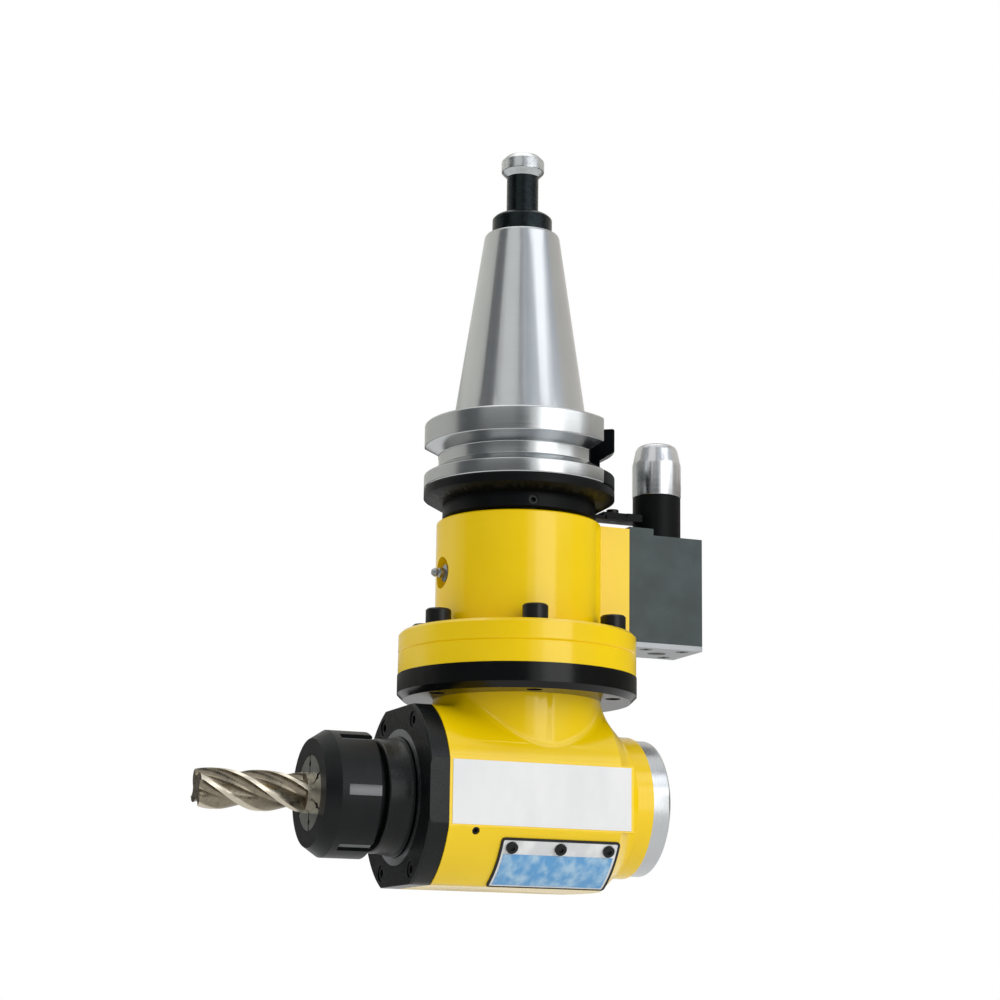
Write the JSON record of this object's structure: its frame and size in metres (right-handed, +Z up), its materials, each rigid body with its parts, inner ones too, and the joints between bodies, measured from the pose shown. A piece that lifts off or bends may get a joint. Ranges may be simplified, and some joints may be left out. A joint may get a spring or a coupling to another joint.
{
  "type": "angle head",
  "caption": "Right-angle milling head: taper shank with pull stud, spring-loaded locating pin beside it, swivelling bevel-gear housing and a side spindle with an end mill in a collet nut.",
  "frame": {"origin": "centre of the gauge plane of the 7/24 taper, on the input axis", "axes": "+Z up the taper shank to the pull stud, +X towards the locating pin, the output spindle points along -X"},
  "size_m": [0.2665, 0.1236, 0.3913],
  "materials": {
    "housing_paint": "semi-gloss yellow paint",
    "black_steel": "black oxide, satin",
    "ground_steel": "ground, bright",
    "bearing_steel": "polished",
    "machined_steel": "machined",
    "gear_steel": "ground teeth, oiled",
    "spring_steel": "drawn wire",
    "block_finish": "dark grey-green, matt",
    "bright_aluminium": "turned, bright",
    "white_label": "blank white label",
    "blue_label": "blank blue label",
    "seal_rubber": "matt",
    "tool_coating": "dark bronze coating with bright edges"
  },
  "bodies": {
    "upper_housing": {"upper_housing": "housing_paint", "swivel_ring": "housing_paint", "clamp_ring": "black_steel", "flange_screws": "black_steel", "clamp_lock_screws": "black_steel", "dust_seal": "seal_rubber", "upper_bearing_outer_rings": "bearing_steel", "upper_bearing_balls": "bearing_steel", "bearing_retainer": "machined_steel", "grease_nipple": "machined_steel", "positioning_block": "block_finish", "base_plate": "machined_steel", "base_plate_screws": "black_steel", "block_screws": "black_steel", "spring_plug": "black_steel", "pin_spring": "spring_steel"},
    "locating_pin": {"locating_pin": "ground_steel", "pin_collar": "black_steel", "lock_arm": "black_steel", "lock_tongue": "black_steel", "tongue_screw": "black_steel"},
    "head": {"head_housing": "housing_paint", "neck_bearing_outer_ring": "bearing_steel", "neck_bearing_balls": "bearing_steel", "neck_retainer": "machined_steel", "front_cover": "black_steel", "cover_screws": "black_steel", "oil_seal": "seal_rubber", "seal_ring": "ground_steel", "spindle_bearing_outer_rings": "bearing_steel", "spindle_bearing_balls": "bearing_steel", "rear_cap": "bright_aluminium", "name_plate": "bright_aluminium", "name_plate_screws": "black_steel", "name_label": "blue_label", "side_label": "white_label", "grease_plug": "black_steel"},
    "input_shaft": {"pull_stud": "black_steel", "taper_shank": "ground_steel", "orientation_ring": "black_steel", "ring_screw": "black_steel", "input_bearing_inner_rings": "bearing_steel", "input_locknut": "machined_steel", "shaft_sleeve": "machined_steel", "input_bevel_gear": "gear_steel", "input_gear_key": "machined_steel", "input_gear_screw": "black_steel"},
    "output_spindle": {"output_spindle": "ground_steel", "nose_collar": "black_steel", "spindle_bearing_inner_rings": "bearing_steel", "front_locknut": "machined_steel", "output_bevel_gear": "gear_steel", "output_gear_key": "machined_steel", "rear_locknut": "machined_steel"},
    "collet": {"collet": "ground_steel"},
    "collet_nut": {"collet_nut": "black_steel", "extractor_ring": "black_steel"},
    "end_mill": {"end_mill": "tool_coating"}
  },
  "joints": [
    {"name": "head_swivel", "type": "hinge", "parent": "upper_housing", "child": "head", "pos_m": [0, 0, -0.137], "axis": [0, 0, 1], "continuous": true},
    {"name": "input_spin", "type": "hinge", "parent": "head", "child": "input_shaft", "pos_m": [0, 0, 0], "axis": [0, 0, 1], "continuous": true},
    {"name": "spindle_spin", "type": "hinge", "parent": "head", "child": "output_spindle", "pos_m": [0, 0, -0.2003], "axis": [-1, 0, 0], "continuous": true},
    {"name": "collet_draw", "type": "slide", "parent": "output_spindle", "child": "collet", "axis": [-1, 0, 0], "range_m": [0, 0.018]},
    {"name": "nut_turn", "type": "hinge", "parent": "collet", "child": "collet_nut", "pos_m": [-0.1, 0, -0.2003], "axis": [-1, 0, 0], "range_deg": [0, 4320]},
    {"name": "end_mill_pull", "type": "slide", "parent": "collet", "child": "end_mill", "axis": [-1, 0, 0], "range_m": [0, 0.045]},
    {"name": "pin_press", "type": "slide", "parent": "upper_housing", "child": "locating_pin", "axis": [0, 0, -1], "range_m": [0, 0.005], "stiffness_N_per_m": 3000, "springref_m": -0.004, "deforming": ["pin_spring"]}
  ],
  "couplings": [
    {"joint": "spindle_spin", "follows": "input_spin", "ratio": 1},
    {"joint": "collet_draw", "follows": "nut_turn", "m_per_rad": 0.00023873}
  ]
}
